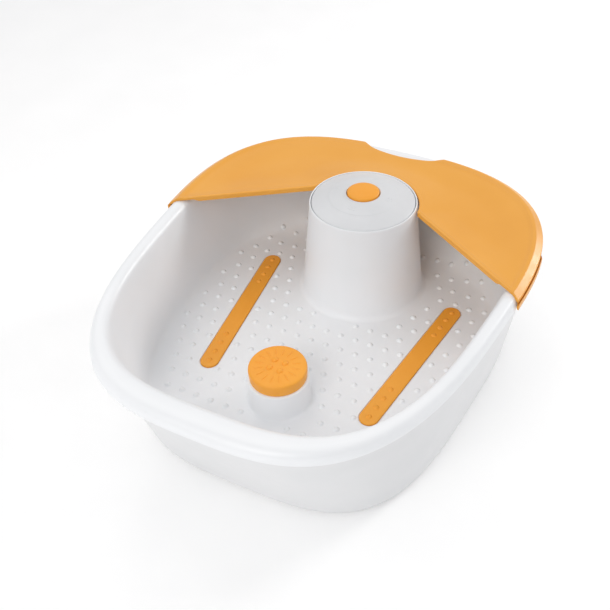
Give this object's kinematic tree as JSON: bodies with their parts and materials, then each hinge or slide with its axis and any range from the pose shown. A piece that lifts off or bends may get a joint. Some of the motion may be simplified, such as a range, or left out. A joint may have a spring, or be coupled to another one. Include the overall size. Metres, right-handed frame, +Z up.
{
  "type": "pedicure foot bath",
  "caption": "Double-walled foot bath tub with a motor dome, press button, clip-on massage head, air strips and a lift-off rear splash guard.",
  "frame": {"origin": "on the ground under the middle of the outline, at the height of the feet's undersides", "axes": "+Z up, +Y to the back where the splash guard is, +X to the right seen from the front"},
  "size_m": [0.354, 0.4187, 0.1513],
  "materials": {
    "white_plastic": "satin moulded plastic",
    "orange_plastic": "satin moulded plastic",
    "soft_orange": "soft-touch moulded plastic",
    "dark_rubber": "matt",
    "zinc_steel": "zinc-plated, satin",
    "bronze": "sintered bronze",
    "circuit_board": "satin solder resist",
    "grey_plastic": "matt moulded plastic",
    "black_plastic": "matt",
    "clear_hose": "milky silicone",
    "aluminium": "mill finish",
    "red_wire": "satin insulation",
    "blue_wire": "satin insulation"
  },
  "bodies": {
    "tub": {"basin": "white_plastic", "outer_housing": "white_plastic", "control_panel": "white_plastic", "panel_seal": "dark_rubber", "panel_screws": "zinc_steel", "button_seal": "dark_rubber", "button_spring": "zinc_steel", "switch_block": "black_plastic", "control_board": "circuit_board", "board_components": "black_plastic", "board_screws": "zinc_steel", "massage_strip_left": "soft_orange", "massage_strip_right": "soft_orange", "motor_case": "zinc_steel", "upper_bearing": "bronze", "lower_bearing": "bronze", "blower_housing": "grey_plastic", "blower_cover": "grey_plastic", "motor_bracket": "zinc_steel", "motor_dampers": "dark_rubber", "motor_screws": "zinc_steel", "bracket_screws": "zinc_steel", "air_hose_left": "clear_hose", "air_hose_right": "clear_hose", "heating_plate": "aluminium", "heating_element": "zinc_steel", "thermostat": "aluminium", "heater_washers": "zinc_steel", "terminal_block": "white_plastic", "cord_inlet": "dark_rubber", "mains_lead": "dark_rubber", "heater_lead": "red_wire", "control_lead": "blue_wire", "housing_screws": "zinc_steel", "rubber_feet": "dark_rubber"},
    "guard": {"splash_guard": "orange_plastic"},
    "massage_head": {"massage_attachment": "orange_plastic"},
    "button": {"function_button": "orange_plastic", "switch_plunger": "white_plastic"},
    "rotor": {"motor_rotor": "zinc_steel", "eccentric_weight": "zinc_steel", "blower_impeller": "grey_plastic"}
  },
  "joints": [
    {"name": "button_press", "type": "slide", "parent": "tub", "child": "button", "axis": [0, 0, -1], "range_m": [0, 0.0025], "stiffness_N_per_m": 600, "springref_m": -0.001, "deforming": ["button_spring"]},
    {"name": "massage_head_pull", "type": "slide", "parent": "tub", "child": "massage_head", "axis": [0, 0, 1], "range_m": [0, 0.018]},
    {"name": "guard_lift", "type": "slide", "parent": "tub", "child": "guard", "axis": [0, 0, 1], "range_m": [0, 0.04]},
    {"name": "motor_spin", "type": "hinge", "parent": "tub", "child": "rotor", "pos_m": [0, 0.0946, 0.05], "axis": [0, 0, 1], "continuous": true}
  ]
}
